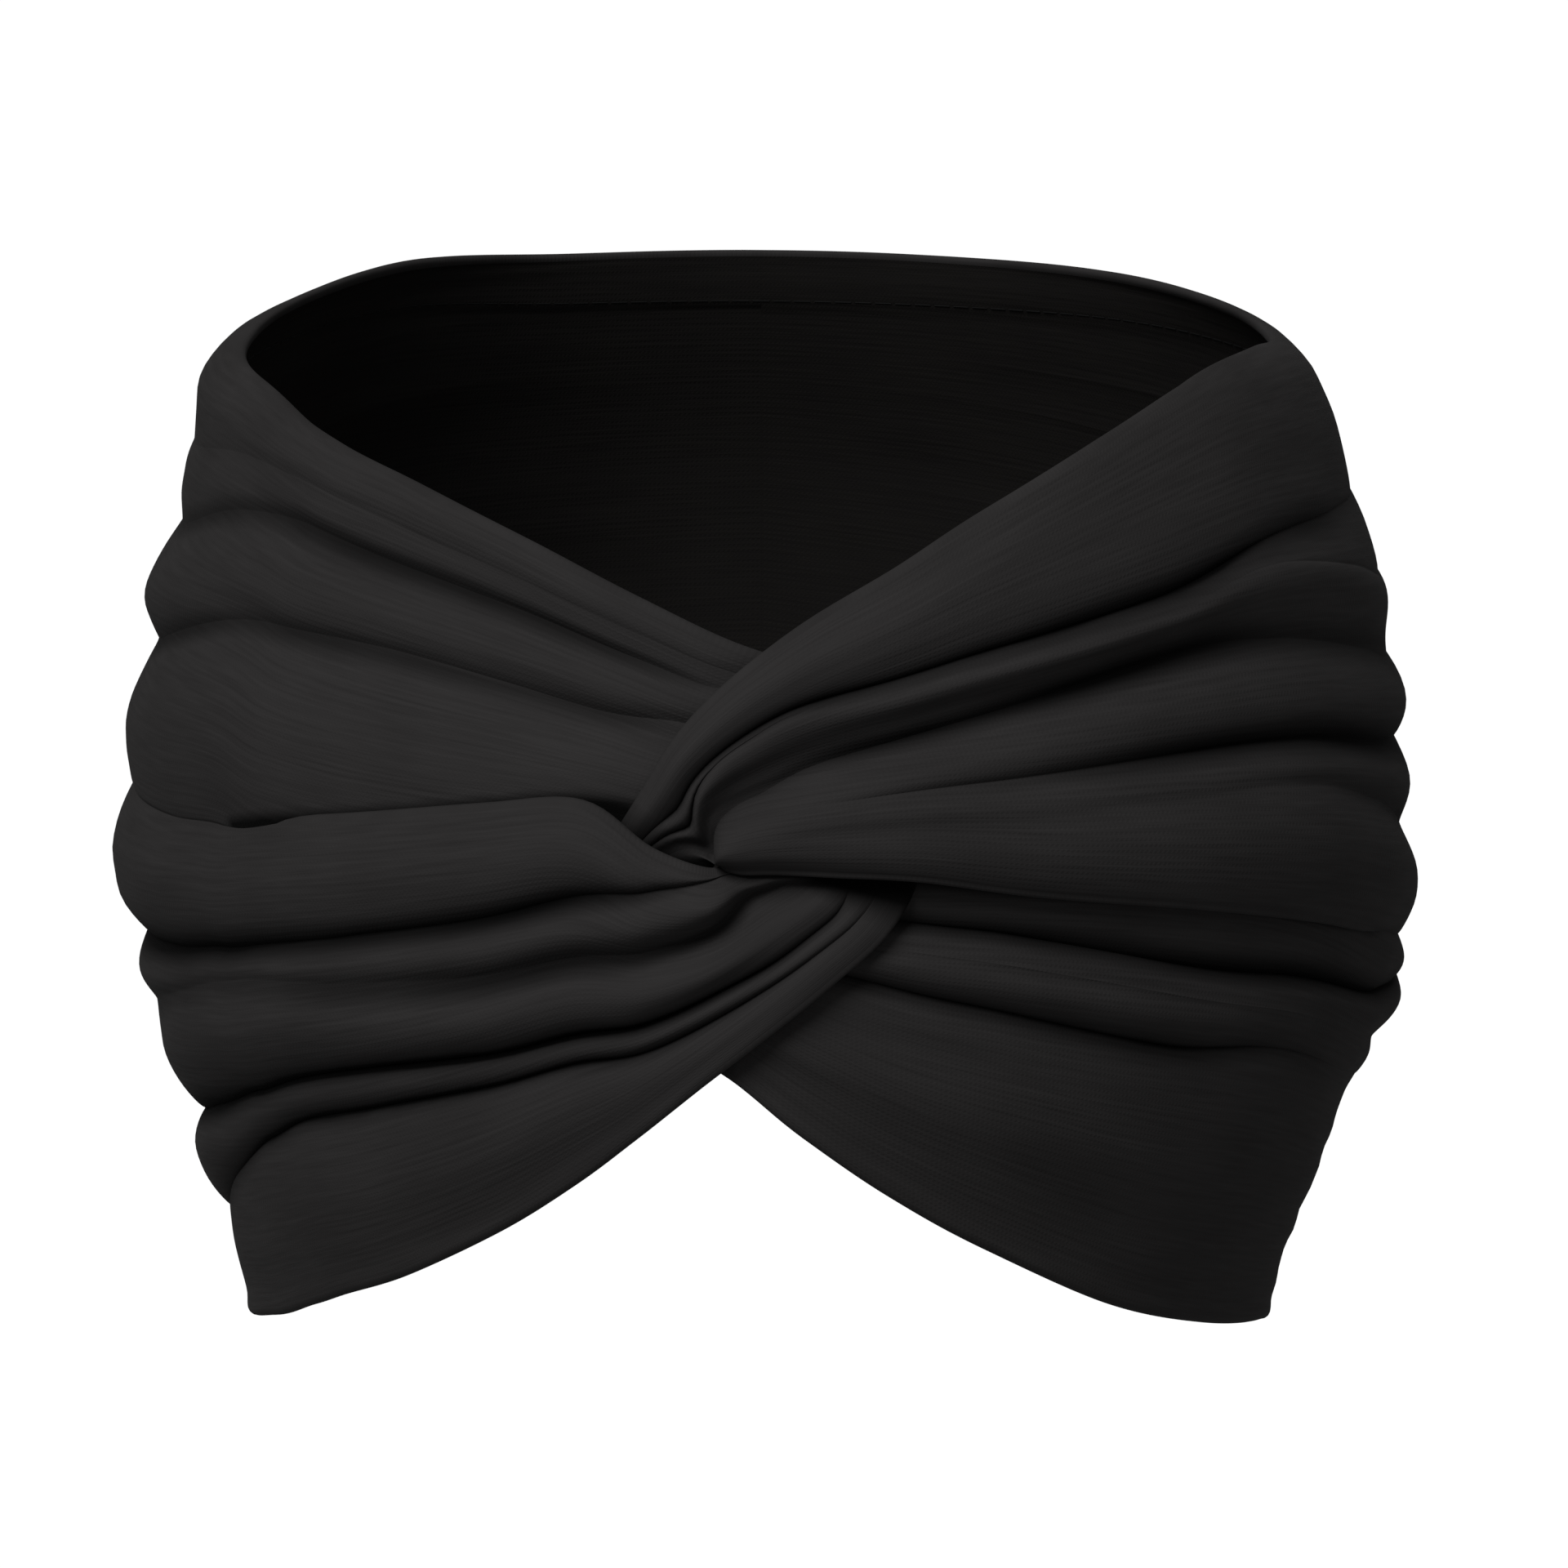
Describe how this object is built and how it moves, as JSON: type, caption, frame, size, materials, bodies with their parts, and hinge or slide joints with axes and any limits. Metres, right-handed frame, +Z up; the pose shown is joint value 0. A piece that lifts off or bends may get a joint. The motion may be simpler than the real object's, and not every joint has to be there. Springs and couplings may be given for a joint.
{
  "type": "twist headband",
  "caption": "Wide stretch headband of black jersey, shaped as worn: gathered bands run round from a seam at the back and fold through each other at the front in a soft twist.",
  "frame": {"origin": "middle of the head hollow, level with the widest part of the bands, where the head it is worn on sits", "axes": "+Z up along the head, -Y towards the front twist, +X to the right of the picture"},
  "size_m": [0.1799, 0.2047, 0.1404],
  "materials": {
    "black_jersey": "matte fine knit"
  },
  "bodies": {
    "root": {"left_band": "black_jersey", "right_band": "black_jersey"}
  },
  "joints": []
}
